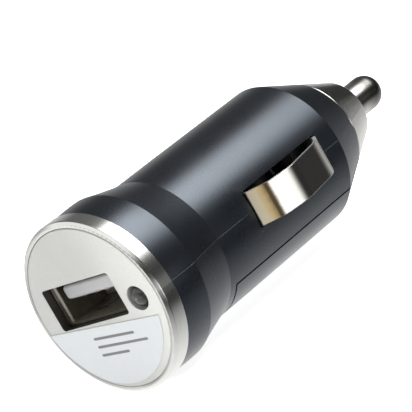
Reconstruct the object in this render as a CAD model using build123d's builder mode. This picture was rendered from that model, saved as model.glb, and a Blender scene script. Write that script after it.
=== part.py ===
from build123d import *
import math
import os

os.makedirs("parts", exist_ok=True)

# A 12 V plug-in USB charger, in millimetres. The plug's axis is Y: the USB face looks along -Y and the
# centre pin points along +Y. The slot's long side is along X, the two body halves part at Z = 0, and the
# origin is on the axis where the neck meets the barrel, which is as far as the plug enters a socket.

# Moulded body
barrel_radius = 10.3
barrel_draft = 0.1
barrel_length = 25.9
barrel_wall = 1.4
neck_length = 6.2
neck_hollow = 0.06
crease_inset = 0.05
flange_length = 4.4
flange_front_inset = 0.2
flange_crown = 0.08
shoulder_length = 6.2
bulkhead_thickness = 1.2
parting_pin_radius = 0.5
parting_pin_height = 1.0
flange_pin_setback = 2.2
shoulder_pin_setback = 3.0
rib_thickness = 1.1
rail_overhang = 0.1

# Moulded panel outlined by a fine groove on the underside
panel_edge_angle = 40.0
panel_front = 1.1
groove_width = 0.3
groove_depth = 0.22
groove_overcut = 1.0

# Plated ring and face
ring_length = 2.6
ring_radius = 11.9
ring_wall = 0.8
ring_bevel = 0.45
ring_edge_radius = 0.2
ring_rear_chamfer = 0.15
face_recess = 0.1
face_thickness = 1.2
face_gap = 0.04
face_edge_radius = 0.15
spigot_wall = 1.1
fit_gap = 0.05

# Rating label
label_thickness = 0.1
label_edge_gap = 0.1
label_shift = -0.55
label_top = -2.3
label_tilt = -3.0

# Metal nose and centre pin
nose_length = 6.35
nose_front_radius = 4.4
nose_corner_radius = 0.7
nose_rear_chamfer = 0.2
nose_front_wall = 1.45
thread_radius = 4.9
thread_length = 2.5
pin_radius = 2.4
pin_reach = 7.8
pin_clearance = 0.08
pin_flange_radius = 3.3
pin_flange_thickness = 0.9
pin_stub_radius = 1.85
pin_stub_length = 3.0

# Coil spring and tip terminal
spring_bore_radius = 3.6
spring_radius = 2.6
spring_wire = 0.5
spring_turns = 4
terminal_radius = 4.3
terminal_thickness = 0.6
terminal_tail_width = 2.0
terminal_tail_thickness = 0.5
terminal_tail_length = 4.0
tail_hole_radius = 2.3

# Side leaf contacts
contact_width = 4.7
contact_thickness = 0.45
contact_peak = 14.3
contact_shoulder_gap = 3.35
contact_length = 15.0
contact_foot_depth = 1.85
contact_front_foot = 2.2
contact_rear_foot = 1.1
contact_knee_rise = 0.05
contact_crown_front = 1.75
contact_crown_drop = 1.0
contact_crown_rear = 5.35
contact_heel = 12.75
contact_heel_drop = 1.7
contact_tail_rise = 0.05
contact_foot_radius = 0.3
contact_bend_radius = 0.55
contact_crown_front_radius = 2.2
contact_crown_rear_radius = 5.0
contact_heel_radius = 5.0
contact_tail_radius = 0.8
slot_gap = 0.22
slot_setback = 0.73
slot_corner_radius = 0.35

# USB receptacle
usb_x = -1.65
usb_z = 1.2
usb_opening_width = 12.5
usb_opening_height = 5.1
usb_sheet = 0.3
usb_length = 9.7
usb_corner_radius = 0.6
port_side_margin = 0.25
port_top_margin = 0.35
port_corner_radius = 0.45
tongue_width = 11.2
tongue_thickness = 2.0
tongue_top_gap = 0.45
tongue_recess = 1.0
tongue_edge_radius = 0.6
tongue_nose_radius = 0.5
usb_block_length = 2.4
usb_contact_width = 1.0
usb_contact_thickness = 0.3
usb_contact_offsets = (-3.5, -1.0, 1.0, 3.5)
usb_contact_recess = 1.1
usb_finger_width = 1.9
usb_finger_length = 4.0
usb_finger_slit = 0.35
usb_finger_spacing = 5.2
usb_leg_width = 1.6
usb_leg_length = 1.7
usb_leg_setbacks = (6.7, 8.8)

# Lamp
led_x = 7.6
led_z = -0.1
led_radius = 1.5
led_hole_clearance = 0.15
led_stand = 0.3
led_length = 5.05
led_flange_radius = 1.9
led_flange_length = 0.9
led_lead_radius = 0.25
led_lead_pitch = 2.1
led_lead_lower_length = 2.4
led_lead_upper_length = 4.6
led_lead_bend_radius = 0.6

# Circuit board and what stands on it
board_thickness = 1.2
board_front_half_width = 8.1
board_rear_half_width = 3.6
board_front_overhang = 4.6
board_contact_gap = 1.5
board_rear_gap = 0.5
component_gap = 0.35
output_capacitor_radius = 3.0
output_capacitor_height = 7.2
input_capacitor_radius = 2.5
input_capacitor_height = 6.6
capacitor_crimp = 0.18
inductor_radius = 3.5
inductor_height = 4.6
inductor_cheek = 0.9
inductor_waist = 1.6
winding_inset = 0.35
chip_width = 4.9
chip_depth = 3.9
chip_height = 1.5
chip_lead_pitch = 1.27
chip_lead_width = 0.42
chip_lead_thickness = 0.2
chip_lead_reach = 1.0
diode_length = 4.3
diode_width = 2.6
diode_height = 2.1
small_chip_length = 1.6
small_chip_width = 0.8
small_chip_height = 0.5
resistor_pitch = 2.3
ceramic_pitch = 2.0
ground_lead_radius = 0.3
ground_lead_start = 2.9
ground_lead_slack = 0.9
ground_lead_bend_radius = 0.5

# Stations along the axis
crease = -neck_length
ring_rear = crease - flange_length
ring_front = ring_rear - ring_length
face_front = ring_front + face_recess
face_rear = face_front + face_thickness
shoulder = barrel_length
nose_rear = shoulder + shoulder_length
nose_front = nose_rear + nose_length
thread_front = nose_rear + thread_length
pin_tip = nose_front + pin_reach
bulkhead = barrel_length - bulkhead_thickness
terminal_rear = barrel_length
terminal_front = terminal_rear + terminal_thickness
pin_flange_front = nose_front - nose_front_wall - fit_gap
pin_flange_rear = pin_flange_front - pin_flange_thickness
contact_rear = shoulder - contact_shoulder_gap
contact_front = contact_rear - contact_length
land_end = contact_front - slot_gap - slot_setback
usb_rear = face_rear + usb_length
led_front = face_front - led_stand
led_rear = led_front + led_length
lamp_seat = led_rear - led_flange_length - fit_gap
saddle_front = lamp_seat - rib_thickness
board_front = face_rear + board_front_overhang
board_step = contact_front - contact_front_foot - board_contact_gap
board_rear = bulkhead - board_rear_gap
ground_lead_y = contact_front - contact_front_foot / 2

# Stations of the board's components, counted forward from the tip terminal's tail
input_capacitor_y = terminal_rear - terminal_tail_length - component_gap - input_capacitor_radius
resistor_y = input_capacitor_y - input_capacitor_radius - component_gap - small_chip_width / 2
inductor_y = resistor_y - small_chip_width / 2 - component_gap - inductor_radius
output_capacitor_y = (usb_rear + usb_contact_thickness + inductor_y - inductor_radius) / 2
chip_y = inductor_y
diode_y = input_capacitor_y
ceramic_y = chip_y - chip_depth / 2 - chip_lead_reach - component_gap - small_chip_length / 2

# Radii and heights that follow from the sizes above
barrel_bore = barrel_radius - barrel_wall
ring_bore = ring_radius - ring_wall
spigot_radius = ring_bore - fit_gap
flange_bore = spigot_radius - spigot_wall
face_radius = ring_bore - face_gap
label_radius = face_radius - label_edge_gap + label_shift
crease_radius = ring_radius - crease_inset
flange_front_radius = ring_radius - flange_front_inset
shoulder_radius = barrel_radius - barrel_draft
cone_taper = (shoulder_radius - nose_front_radius) / (shoulder_length + nose_length)
nose_rear_radius = shoulder_radius - cone_taper * shoulder_length
usb_shell_width = usb_opening_width + 2 * usb_sheet
usb_shell_height = usb_opening_height + 2 * usb_sheet
board_top = usb_z - usb_shell_height / 2
board_bottom = board_top - board_thickness
tongue_bottom = usb_z + usb_opening_height / 2 - tongue_top_gap - tongue_thickness
contact_foot = barrel_radius - contact_foot_depth
upper_turn = Axis((0, 0, 0), (0, -1, 0))


def cross_plane(station):
    """Plane across the plug's axis at a station, seen from the USB face with X right and Z up."""
    return Plane.XZ.offset(-station)


def generatrix_plane(angle):
    """Plane through the axis at an angle from X towards Z, with the radius along its own X."""
    turn = math.radians(angle)
    outward = (math.cos(turn), 0, math.sin(turn))
    return Plane(origin=(0, 0, 0), x_dir=outward, z_dir=(-math.sin(turn), 0, math.cos(turn)))


# Wall section shared by the two body halves, radius along X and the plug's axis along Y
flange_middle = ((flange_front_radius + crease_radius) / 2 + flange_crown, (ring_rear + crease) / 2)
neck_middle = ((crease_radius + barrel_radius) / 2 - neck_hollow, crease / 2)
with BuildSketch(Plane.XY) as shell_section:
    with BuildLine():
        spigot = Polyline(
            (flange_bore, face_rear),
            (spigot_radius, face_rear),
            (spigot_radius, ring_rear),
            (flange_front_radius, ring_rear),
        )
        flange = ThreePointArc(spigot @ 1, flange_middle, (crease_radius, crease))
        neck = ThreePointArc(flange @ 1, neck_middle, (barrel_radius, 0))
        Polyline(
            neck @ 1,
            (barrel_radius, land_end),
            (shoulder_radius, shoulder),
            (nose_rear_radius, nose_rear),
            (thread_radius, nose_rear),
            (thread_radius, thread_front),
            (spring_bore_radius, thread_front),
            (spring_bore_radius, terminal_front),
            (terminal_radius + fit_gap, terminal_front),
            (terminal_radius + fit_gap, terminal_rear),
            (tail_hole_radius, terminal_rear),
            (tail_hole_radius, bulkhead),
            (barrel_bore, bulkhead),
            (barrel_bore, 0),
            (flange_bore, crease),
            spigot @ 0,
        )
    make_face()

# Slot that each leaf contact works in, drawn on the side of the barrel
with BuildSketch(Plane.YZ) as contact_slot:
    with Locations(((contact_front + contact_rear) / 2, 0)):
        RectangleRounded(contact_length + 2 * slot_gap, contact_width + 2 * slot_gap, slot_corner_radius)

# Places of the locating pins on the parting face
flange_pin_x = (flange_bore + flange_front_radius) / 2
shoulder_pin_x = (spring_bore_radius + nose_rear_radius) / 2 + parting_pin_radius
parting_pins = [
    (side * x, y)
    for side in (-1, 1)
    for x, y in (
        (flange_pin_x, crease - flange_pin_setback),
        (shoulder_pin_x, shoulder + shoulder_pin_setback),
    )
]

# Ways for the receptacle and the lamp through the saddle, a thick rib that both halves close round them
with BuildSketch(cross_plane(usb_rear)) as receptacle_way:
    with Locations((usb_x, usb_z)):
        RectangleRounded(
            usb_shell_width + 2 * fit_gap, usb_shell_height + 2 * fit_gap, usb_corner_radius + fit_gap
        )

with BuildSketch(cross_plane(led_rear)) as lamp_way:
    with Locations((led_x, led_z)):
        Circle(led_radius + fit_gap)

with BuildSketch(cross_plane(led_rear)) as lamp_counterbore:
    with Locations((led_x, led_z)):
        Circle(led_flange_radius + fit_gap)


def saddle_section(side):
    """Half of the saddle's disc, above the parting face with side Align.MIN or below it with Align.MAX."""
    with BuildSketch(cross_plane(led_rear)) as section:
        Circle((flange_bore + spigot_radius) / 2)
        Rectangle(2 * spigot_radius, spigot_radius, align=(Align.CENTER, side), mode=Mode.INTERSECT)
    return section.sketch


# Upper half of the body
with BuildPart() as shell_upper:
    revolve(shell_section.sketch, axis=upper_turn, revolution_arc=180)
    extrude(saddle_section(Align.MIN), amount=led_rear - saddle_front)
    extrude(receptacle_way.sketch, amount=usb_length, mode=Mode.SUBTRACT)
    extrude(lamp_way.sketch, amount=led_rear - face_rear, mode=Mode.SUBTRACT)
    extrude(lamp_counterbore.sketch, amount=led_rear - lamp_seat, mode=Mode.SUBTRACT)
    extrude(contact_slot.sketch, amount=barrel_radius, both=True, mode=Mode.SUBTRACT)
    with BuildSketch(Plane.XY) as pin_holes:
        with Locations(*parting_pins):
            Circle(parting_pin_radius + fit_gap)
    extrude(amount=parting_pin_height + fit_gap, mode=Mode.SUBTRACT)
shell_upper.part.label = "shell_upper"
export_step(shell_upper.part, "parts/shell_upper.step")

# Lower half, with its share of the saddle, rails under the board, locating pins and the grooved panel
rail_x = board_rear_half_width + rail_overhang - rib_thickness / 2
rail_foot = math.sqrt((barrel_bore + barrel_wall / 2) ** 2 - (rail_x + rib_thickness / 2) ** 2)
rail_rear = contact_rear
with BuildPart() as shell_lower:
    revolve(shell_section.sketch, axis=Axis.Y, revolution_arc=180)
    extrude(saddle_section(Align.MAX), amount=led_rear - saddle_front)
    extrude(receptacle_way.sketch, amount=usb_length, mode=Mode.SUBTRACT)
    extrude(lamp_way.sketch, amount=led_rear - face_rear, mode=Mode.SUBTRACT)
    extrude(lamp_counterbore.sketch, amount=led_rear - lamp_seat, mode=Mode.SUBTRACT)
    extrude(contact_slot.sketch, amount=barrel_radius, both=True, mode=Mode.SUBTRACT)
    with BuildSketch(Plane.XY) as locating_pins:
        with Locations(*parting_pins):
            Circle(parting_pin_radius)
    extrude(amount=parting_pin_height)
    with BuildSketch(Plane.XY.offset(board_bottom)) as board_rails:
        with Locations((-rail_x, (board_step + rail_rear) / 2), (rail_x, (board_step + rail_rear) / 2)):
            Rectangle(rib_thickness, rail_rear - board_step)
    extrude(amount=-(rail_foot + board_bottom))
    with BuildSketch(cross_plane(crease)) as front_rib:
        Circle((flange_bore + spigot_radius) / 2)
        with Locations((0, board_bottom)):
            Rectangle(2 * flange_bore, 2 * flange_bore, align=(Align.CENTER, Align.MAX), mode=Mode.INTERSECT)
    extrude(amount=rib_thickness)
    with BuildSketch(generatrix_plane(-panel_edge_angle)) as panel_front_line:
        with Locations((barrel_radius - groove_depth, panel_front)):
            Rectangle(groove_overcut, groove_width, align=(Align.MIN, Align.MIN))
    revolve(axis=Axis.Y, revolution_arc=180 - 2 * panel_edge_angle, mode=Mode.SUBTRACT)
    for edge_angle in (-panel_edge_angle, panel_edge_angle - 180):
        with BuildSketch(generatrix_plane(edge_angle)) as panel_side_line:
            with BuildLine():
                Polyline(
                    (barrel_radius - groove_depth, panel_front),
                    (barrel_radius + groove_overcut, panel_front),
                    (barrel_radius + groove_overcut, shoulder),
                    (nose_rear_radius + groove_overcut, nose_rear),
                    (nose_rear_radius - groove_depth, nose_rear),
                    (shoulder_radius - groove_depth, shoulder),
                    (barrel_radius - groove_depth, land_end),
                    close=True,
                )
            make_face()
        extrude(amount=groove_width / 2, both=True, mode=Mode.SUBTRACT)
shell_lower.part.label = "shell_lower"
export_step(shell_lower.part, "parts/shell_lower.step")

# Plated ring pressed over the front of both halves
with BuildPart() as bezel_ring:
    with BuildSketch(Plane.XY) as ring_section:
        with BuildLine():
            Polyline(
                (ring_bore, ring_rear),
                (ring_radius - ring_rear_chamfer, ring_rear),
                (ring_radius, ring_rear - ring_rear_chamfer),
                (ring_radius, ring_front + ring_bevel),
                (ring_radius - ring_bevel, ring_front),
                (ring_bore, ring_front + ring_rear_chamfer),
                close=True,
            )
        make_face()
        bevel_rear = ring_front + ring_bevel
        bevel_corners = ring_section.vertices().filter_by_position(Axis.Y, ring_front, bevel_rear)
        fillet(bevel_corners.group_by(Axis.X)[1:], radius=ring_edge_radius)
    revolve(axis=Axis.Y)
bezel_ring.part.label = "bezel_ring"
export_step(bezel_ring.part, "parts/bezel_ring.step")

# Satin face plate with the USB port and the lamp hole
with BuildPart() as face_plate:
    with BuildSketch(cross_plane(face_rear)) as face_outline:
        Circle(face_radius)
        with Locations((usb_x, usb_z)):
            RectangleRounded(
                usb_opening_width + 2 * port_side_margin,
                usb_opening_height + 2 * port_top_margin,
                port_corner_radius,
                mode=Mode.SUBTRACT,
            )
        with Locations((led_x, led_z)):
            Circle(led_radius + led_hole_clearance, mode=Mode.SUBTRACT)
    extrude(amount=face_thickness)
    fillet(face_plate.faces().sort_by(Axis.Y)[0].outer_wire().edges(), radius=face_edge_radius)
face_plate.part.label = "face_plate"
export_step(face_plate.part, "parts/face_plate.step")

# Sticker on the lower part of the face, its top edge cut straight
with BuildPart() as rating_label:
    with BuildSketch(cross_plane(face_front)) as label_outline:
        with Locations((label_shift, 0)):
            Circle(label_radius)
        with Locations((0, label_top)):
            Rectangle(
                2 * face_radius,
                2 * face_radius,
                rotation=label_tilt,
                align=(Align.CENTER, Align.MAX),
                mode=Mode.INTERSECT,
            )
    extrude(amount=label_thickness)
rating_label.part.label = "rating_label"
export_step(rating_label.part, "parts/rating_label.step")

# Turned metal nose that screws onto the tip of the two halves
with BuildPart() as nose_cone:
    with BuildSketch(Plane.XY) as nose_section:
        with BuildLine():
            Polyline(
                (thread_radius + fit_gap, nose_rear),
                (nose_rear_radius, nose_rear),
                (nose_front_radius, nose_front),
                (pin_radius + pin_clearance, nose_front),
                (pin_radius + pin_clearance, nose_front - nose_front_wall),
                (spring_bore_radius, nose_front - nose_front_wall),
                (spring_bore_radius, thread_front + fit_gap),
                (thread_radius + fit_gap, thread_front + fit_gap),
                close=True,
            )
        make_face()
        fillet(nose_section.vertices().group_by(Axis.Y)[-1].sort_by(Axis.X)[-1], radius=nose_corner_radius)
        chamfer(nose_section.vertices().group_by(Axis.Y)[0].sort_by(Axis.X)[-1], length=nose_rear_chamfer)
    revolve(axis=Axis.Y)
nose_cone.part.label = "nose_cone"
export_step(nose_cone.part, "parts/nose_cone.step")

# Centre pin: domed shank, flange behind the nose's front wall and a stub inside the spring
with BuildPart() as centre_pin:
    with BuildSketch(Plane.XY) as pin_section:
        with BuildLine():
            shank = Polyline(
                (0, pin_flange_rear - pin_stub_length),
                (pin_stub_radius, pin_flange_rear - pin_stub_length),
                (pin_stub_radius, pin_flange_rear),
                (pin_flange_radius, pin_flange_rear),
                (pin_flange_radius, pin_flange_front),
                (pin_radius, pin_flange_front),
                (pin_radius, pin_tip - pin_radius),
            )
            dome = RadiusArc(shank @ 1, (0, pin_tip), -pin_radius)
            Line(dome @ 1, shank @ 0)
        make_face()
    revolve(axis=Axis.Y)
centre_pin.part.label = "centre_pin"
export_step(centre_pin.part, "parts/centre_pin.step")

# Coil spring between the tip terminal and the pin's flange
spring_start = terminal_front + spring_wire / 2 + fit_gap
spring_height = pin_flange_rear - spring_wire / 2 - fit_gap - spring_start
with BuildPart() as pin_spring:
    with BuildLine() as coil:
        turns = Helix(
            pitch=spring_height / spring_turns,
            height=spring_height,
            radius=spring_radius,
            center=(0, spring_start, 0),
            direction=(0, 1, 0),
        )
    with BuildSketch(Plane(origin=turns @ 0, z_dir=turns % 0)) as wire_section:
        Circle(spring_wire / 2)
    sweep(path=coil.line, is_frenet=True)
pin_spring.part.label = "pin_spring"
export_step(pin_spring.part, "parts/pin_spring.step")

# Brass terminal: a disc under the spring and a tail soldered to the board
with BuildPart() as tip_terminal:
    with BuildSketch(cross_plane(terminal_rear)) as terminal_disc:
        Circle(terminal_radius)
    extrude(amount=-terminal_thickness)
    with BuildSketch(Plane.XY.offset(board_top)) as terminal_tail:
        with Locations((0, terminal_rear)):
            Rectangle(terminal_tail_width, terminal_tail_length, align=(Align.CENTER, Align.MAX))
    extrude(amount=terminal_tail_thickness)
tip_terminal.part.label = "tip_terminal"
export_step(tip_terminal.part, "parts/tip_terminal.step")

# Leaf contact: a strip with a foot under the wall at each end and a bow that stands out of the slot
with BuildPart() as side_contact_right:
    with BuildSketch(Plane.XY) as strip_section:
        with BuildLine() as strip_path:
            FilletPolyline(
                (contact_foot, contact_front - contact_front_foot),
                (contact_foot, contact_front),
                (barrel_radius + contact_knee_rise, contact_front),
                (contact_peak - contact_crown_drop, contact_front + contact_crown_front),
                (contact_peak, contact_front + contact_crown_rear),
                (contact_peak - contact_heel_drop, contact_front + contact_heel),
                (barrel_radius + contact_tail_rise, contact_rear),
                (contact_foot, contact_rear),
                (contact_foot, contact_rear + contact_rear_foot),
                radius=[
                    contact_foot_radius,
                    contact_bend_radius,
                    contact_crown_front_radius,
                    contact_crown_rear_radius,
                    contact_heel_radius,
                    contact_tail_radius,
                    contact_foot_radius,
                ],
            )
            offset(amount=contact_thickness, side=Side.LEFT)
        make_face()
    extrude(amount=contact_width / 2, both=True)
side_contact_right.part.label = "side_contact_right"
export_step(side_contact_right.part, "parts/side_contact_right.step")

with BuildPart() as side_contact_left:
    mirror(side_contact_right.part, about=Plane.YZ)
side_contact_left.part.label = "side_contact_left"
export_step(side_contact_left.part, "parts/side_contact_left.step")

# Folded metal shell of the USB receptacle, with spring fingers and legs through the board
leg_x = (usb_shell_width - usb_sheet) / 2
leg_places = [(usb_x + side * leg_x, face_rear + y) for side in (-1, 1) for y in usb_leg_setbacks]
with BuildPart() as usb_shell:
    with BuildSketch(cross_plane(face_rear)) as usb_tube:
        with Locations((usb_x, usb_z)):
            RectangleRounded(usb_shell_width, usb_shell_height, usb_corner_radius)
            RectangleRounded(
                usb_opening_width, usb_opening_height, usb_corner_radius - usb_sheet, mode=Mode.SUBTRACT
            )
    extrude(amount=-usb_length)
    with BuildSketch(Plane.XY) as finger_slits:
        with Locations((usb_x, face_rear + usb_length / 2)):
            with GridLocations(usb_finger_spacing, 0, 2, 1):
                Rectangle(usb_finger_width + 2 * usb_finger_slit, usb_finger_length + usb_finger_slit)
                with Locations((0, usb_finger_slit / 2)):
                    Rectangle(usb_finger_width, usb_finger_length, mode=Mode.SUBTRACT)
    extrude(amount=usb_z + usb_shell_height, both=True, mode=Mode.SUBTRACT)
    with BuildSketch(Plane.XY.offset(usb_z)) as legs:
        with Locations(*leg_places):
            Rectangle(usb_sheet, usb_leg_width)
    extrude(amount=-(usb_shell_height / 2 + usb_leg_length))
usb_shell.part.label = "usb_shell"
export_step(usb_shell.part, "parts/usb_shell.step")

# White plastic block and tongue inside the receptacle
block_front = usb_rear - usb_block_length
tongue_front = face_rear + tongue_recess
with BuildPart() as usb_tongue:
    with BuildSketch(cross_plane(usb_rear)) as block:
        with Locations((usb_x, usb_z)):
            RectangleRounded(
                usb_opening_width - 2 * fit_gap,
                usb_opening_height - 2 * fit_gap,
                usb_corner_radius - usb_sheet,
            )
    extrude(amount=usb_block_length)
    with BuildSketch(cross_plane(block_front)) as tongue:
        with Locations((usb_x, tongue_bottom + tongue_thickness / 2)):
            RectangleRounded(tongue_width, tongue_thickness, tongue_edge_radius)
    extrude(amount=block_front - tongue_front)
    fillet(usb_tongue.faces().sort_by(Axis.Y)[0].outer_wire().edges(), radius=tongue_nose_radius)
    with BuildSketch(cross_plane(usb_rear)) as contact_ways:
        with Locations(*[(usb_x + x, tongue_bottom) for x in usb_contact_offsets]):
            Rectangle(usb_contact_width, usb_contact_thickness, align=(Align.CENTER, Align.MAX))
    extrude(amount=usb_block_length, mode=Mode.SUBTRACT)
usb_tongue.part.label = "usb_tongue"
export_step(usb_tongue.part, "parts/usb_tongue.step")

# Four contacts under the tongue, each with a leg down to the board
with BuildPart() as usb_contacts:
    with BuildSketch(Plane.YZ.offset(usb_x - usb_contact_width / 2)) as contact_strip:
        with BuildLine():
            Polyline(
                (tongue_front + usb_contact_recess, tongue_bottom),
                (usb_rear + usb_contact_thickness, tongue_bottom),
                (usb_rear + usb_contact_thickness, board_top),
                (usb_rear, board_top),
                (usb_rear, tongue_bottom - usb_contact_thickness),
                (tongue_front + usb_contact_recess, tongue_bottom - usb_contact_thickness),
                close=True,
            )
        make_face()
    with Locations(*[(x, 0, 0) for x in usb_contact_offsets]):
        add(extrude(contact_strip.sketch, amount=usb_contact_width, mode=Mode.PRIVATE))
usb_contacts.part.label = "usb_contacts"
export_step(usb_contacts.part, "parts/usb_contacts.step")

# Domed lamp behind the hole beside the port
with BuildPart() as led_lamp:
    with BuildSketch(cross_plane(led_rear)) as lamp_flange:
        with Locations((led_x, led_z)):
            Circle(led_flange_radius)
    extrude(amount=led_flange_length)
    with BuildSketch(cross_plane(led_rear)) as lamp_body:
        with Locations((led_x, led_z)):
            Circle(led_radius)
    extrude(amount=led_length - led_radius)
    with Locations((led_x, led_front + led_radius, led_z)):
        Sphere(led_radius)
led_lamp.part.label = "led_lamp"
export_step(led_lamp.part, "parts/led_lamp.step")

# The lamp's two legs: one lies on the board, the other bends down to it
lower_z = board_top + led_lead_radius
upper_z = lower_z + led_lead_pitch
lead_turn = led_rear + led_lead_upper_length
with BuildPart() as led_leads:
    with BuildSketch(cross_plane(led_rear)) as lower_lead:
        with Locations((led_x, lower_z)):
            Circle(led_lead_radius)
    extrude(amount=-led_lead_lower_length)
    with BuildLine() as upper_path:
        FilletPolyline(
            (led_x, led_rear, upper_z),
            (led_x, lead_turn, upper_z),
            (led_x, lead_turn, board_top),
            radius=led_lead_bend_radius,
        )
    with BuildSketch(cross_plane(led_rear)) as upper_lead:
        with Locations((led_x, upper_z)):
            Circle(led_lead_radius)
    sweep(path=upper_path.line)
led_leads.part.label = "led_leads"
export_step(led_leads.part, "parts/led_leads.step")

# Circuit board: wide under the receptacle, narrow between the leaf contacts
with BuildPart() as circuit_board:
    with BuildSketch(Plane.XY.offset(board_bottom)) as board_outline:
        with Locations((0, board_front)):
            Rectangle(2 * board_front_half_width, board_step - board_front, align=(Align.CENTER, Align.MIN))
        with Locations((0, board_step)):
            Rectangle(2 * board_rear_half_width, board_rear - board_step, align=(Align.CENTER, Align.MIN))
        with Locations(*leg_places):
            Rectangle(usb_sheet + 2 * fit_gap, usb_leg_width + 2 * fit_gap, mode=Mode.SUBTRACT)
    extrude(amount=board_thickness)
circuit_board.part.label = "circuit_board"
export_step(circuit_board.part, "parts/circuit_board.step")


def upright_plane(station):
    """Plane that stands on the board across the axis, with its origin on the board's top."""
    return Plane(origin=(0, station, board_top), x_dir=(1, 0, 0), z_dir=(0, -1, 0))


def upright_axis(station):
    """Vertical axis through the middle of the board at a station."""
    return Axis((0, station, 0), (0, 0, 1))


def capacitor_section(station, radius, height):
    """Half section of a can capacitor with the crimp near its base and a rounded top rim."""
    with BuildSketch(upright_plane(station)) as section:
        with BuildLine():
            Polyline(
                (0, 0),
                (radius, 0),
                (radius, 4 * capacitor_crimp),
                (radius - capacitor_crimp, 5 * capacitor_crimp),
                (radius, 6 * capacitor_crimp),
                (radius, height),
                (0, height),
                close=True,
            )
        make_face()
        fillet(section.vertices().group_by(Axis.Y)[-1].sort_by(Axis.X)[-1], radius=2 * capacitor_crimp)
    return section.sketch


# Input and output can capacitors standing on the board
with BuildPart() as output_capacitor:
    revolve(
        capacitor_section(output_capacitor_y, output_capacitor_radius, output_capacitor_height),
        axis=upright_axis(output_capacitor_y),
    )
output_capacitor.part.label = "output_capacitor"
export_step(output_capacitor.part, "parts/output_capacitor.step")

with BuildPart() as input_capacitor:
    revolve(
        capacitor_section(input_capacitor_y, input_capacitor_radius, input_capacitor_height),
        axis=upright_axis(input_capacitor_y),
    )
input_capacitor.part.label = "input_capacitor"
export_step(input_capacitor.part, "parts/input_capacitor.step")

# Drum inductor: ferrite core and its winding
waist_height = inductor_height - 2 * inductor_cheek
with BuildPart() as inductor_core:
    with BuildSketch(upright_plane(inductor_y)) as core_section:
        Rectangle(inductor_radius, inductor_height, align=(Align.MIN, Align.MIN))
        with Locations((inductor_radius, inductor_height / 2)):
            Rectangle(
                inductor_radius - inductor_waist,
                waist_height,
                align=(Align.MAX, Align.CENTER),
                mode=Mode.SUBTRACT,
            )
    revolve(axis=upright_axis(inductor_y))
inductor_core.part.label = "inductor_core"
export_step(inductor_core.part, "parts/inductor_core.step")

with BuildPart() as inductor_winding:
    with BuildSketch(upright_plane(inductor_y)) as winding_section:
        with Locations((inductor_waist + fit_gap, inductor_height / 2)):
            RectangleRounded(
                inductor_radius - winding_inset - inductor_waist,
                waist_height - 2 * fit_gap,
                winding_inset,
                align=(Align.MIN, Align.CENTER),
            )
    revolve(axis=upright_axis(inductor_y))
inductor_winding.part.label = "inductor_winding"
export_step(inductor_winding.part, "parts/inductor_winding.step")

# Controller chip under the board, with its gull-wing leads
with BuildPart() as controller_chip:
    with BuildSketch(Plane.XY.offset(board_bottom - chip_lead_thickness)) as chip_outline:
        with Locations((0, chip_y)):
            Rectangle(chip_width, chip_depth)
    extrude(amount=-chip_height)
    chamfer(controller_chip.faces().sort_by(Axis.Z)[0].edges(), length=chip_lead_thickness)
controller_chip.part.label = "controller_chip"
export_step(controller_chip.part, "parts/controller_chip.step")

with BuildPart() as chip_leads:
    with BuildSketch(Plane.XY.offset(board_bottom)) as lead_feet:
        with Locations((0, chip_y)):
            with GridLocations(chip_lead_pitch, chip_depth + chip_lead_reach, 4, 2):
                Rectangle(chip_lead_width, chip_lead_reach)
    extrude(amount=-chip_lead_thickness)
    with BuildSketch(Plane.XY.offset(board_bottom - chip_lead_thickness)) as lead_knees:
        with Locations((0, chip_y)):
            with GridLocations(chip_lead_pitch, chip_depth + chip_lead_thickness, 4, 2):
                Rectangle(chip_lead_width, chip_lead_thickness)
    extrude(amount=-chip_height / 2)
chip_leads.part.label = "chip_leads"
export_step(chip_leads.part, "parts/chip_leads.step")

# Rectifier diode under the board
with BuildPart() as rectifier_diode:
    with BuildSketch(Plane.XY.offset(board_bottom)) as diode_outline:
        with Locations((0, diode_y)):
            Rectangle(diode_width, diode_length)
    extrude(amount=-diode_height)
    chamfer(rectifier_diode.faces().sort_by(Axis.Z)[0].edges(), length=chip_lead_thickness)
rectifier_diode.part.label = "rectifier_diode"
export_step(rectifier_diode.part, "parts/rectifier_diode.step")

# Small chip resistors on top of the board and ceramic capacitors beneath it
with BuildPart() as chip_resistors:
    with BuildSketch(Plane.XY.offset(board_top)) as resistor_outlines:
        with Locations((0, resistor_y)):
            with GridLocations(resistor_pitch, 0, 3, 1):
                Rectangle(small_chip_length, small_chip_width)
    extrude(amount=small_chip_height)
chip_resistors.part.label = "chip_resistors"
export_step(chip_resistors.part, "parts/chip_resistors.step")

with BuildPart() as chip_capacitors:
    with BuildSketch(Plane.XY.offset(board_bottom)) as ceramic_outlines:
        with Locations((0, ceramic_y)):
            with GridLocations(ceramic_pitch, 0, 2, 1):
                Rectangle(small_chip_width, small_chip_length)
    extrude(amount=-small_chip_width)
chip_capacitors.part.label = "chip_capacitors"
export_step(chip_capacitors.part, "parts/chip_capacitors.step")

# Slack ground leads from the board to the foot of each leaf contact
lead_z = board_top + ground_lead_radius
lead_end = contact_foot - contact_thickness
with BuildPart() as ground_lead_right:
    with BuildLine() as lead_path:
        FilletPolyline(
            (ground_lead_start, ground_lead_y, lead_z),
            ((ground_lead_start + board_rear_half_width) / 2, ground_lead_y, lead_z),
            ((board_rear_half_width + lead_end) / 2, ground_lead_y - ground_lead_slack, lead_z),
            (lead_end - ground_lead_slack, ground_lead_y, lead_z),
            (lead_end, ground_lead_y, lead_z),
            radius=ground_lead_bend_radius,
        )
    with BuildSketch(Plane.YZ.offset(ground_lead_start)) as lead_section:
        with Locations((ground_lead_y, lead_z)):
            Circle(ground_lead_radius)
    sweep(path=lead_path.line)
ground_lead_right.part.label = "ground_lead_right"
export_step(ground_lead_right.part, "parts/ground_lead_right.step")

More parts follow.
